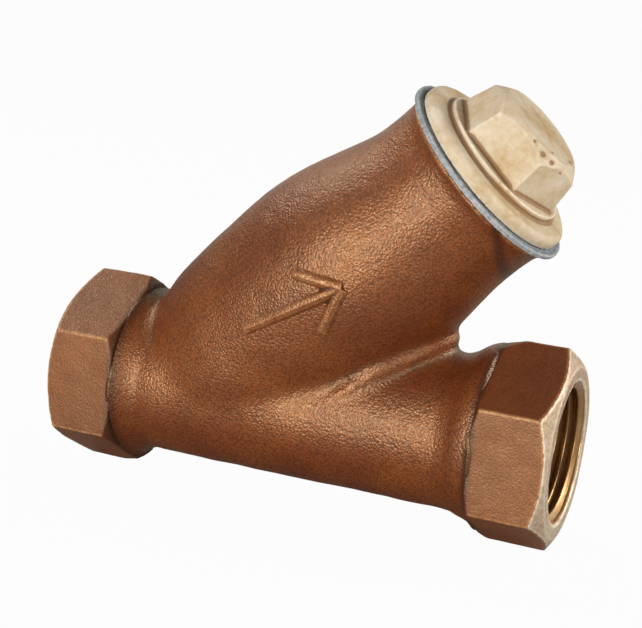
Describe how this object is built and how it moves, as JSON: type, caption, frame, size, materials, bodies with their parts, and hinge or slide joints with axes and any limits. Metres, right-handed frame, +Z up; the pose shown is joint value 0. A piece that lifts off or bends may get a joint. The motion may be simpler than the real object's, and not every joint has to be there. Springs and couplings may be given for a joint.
{
  "type": "y-strainer",
  "caption": "Bronze y-strainer with hexagon screwed ends, a slanted branch, a perforated screen inside it and a screwed hexagon cap on a flat gasket.",
  "frame": {"origin": "centre of the inlet face, on the run's axis", "axes": "+X along the run from inlet to outlet, +Z up on the side of the branch, which leans towards +X in the XZ plane"},
  "size_m": [0.101, 0.0406, 0.0849],
  "materials": {
    "cast_bronze": "sand cast, fine orange-peel skin, reddish brown",
    "turned_brass": "pale, smooth cast and turned",
    "fibre": "pressed blue-grey fibre",
    "stainless_sheet": "perforated sheet"
  },
  "bodies": {
    "housing": {"body": "cast_bronze", "inlet_end": "cast_bronze", "outlet_end": "cast_bronze"},
    "strainer": {"screen": "stainless_sheet"},
    "seal": {"gasket": "fibre"},
    "plug": {"cap": "turned_brass"}
  },
  "joints": [
    {"name": "pack_lift", "type": "slide", "parent": "housing", "child": "strainer", "axis": [0.7071, 0, 0.7071], "range_m": [0, 0.062]},
    {"name": "cap_rise", "type": "slide", "parent": "strainer", "child": "seal", "axis": [0.7071, 0, 0.7071], "range_m": [0, 0.0135]},
    {"name": "cap_turn", "type": "hinge", "parent": "seal", "child": "plug", "pos_m": [0.0306, 0, 0], "axis": [0.7071, 0, 0.7071], "range_deg": [0, 3240]}
  ],
  "couplings": [
    {"joint": "cap_rise", "follows": "cap_turn", "m_per_rad": 0.00023873}
  ]
}
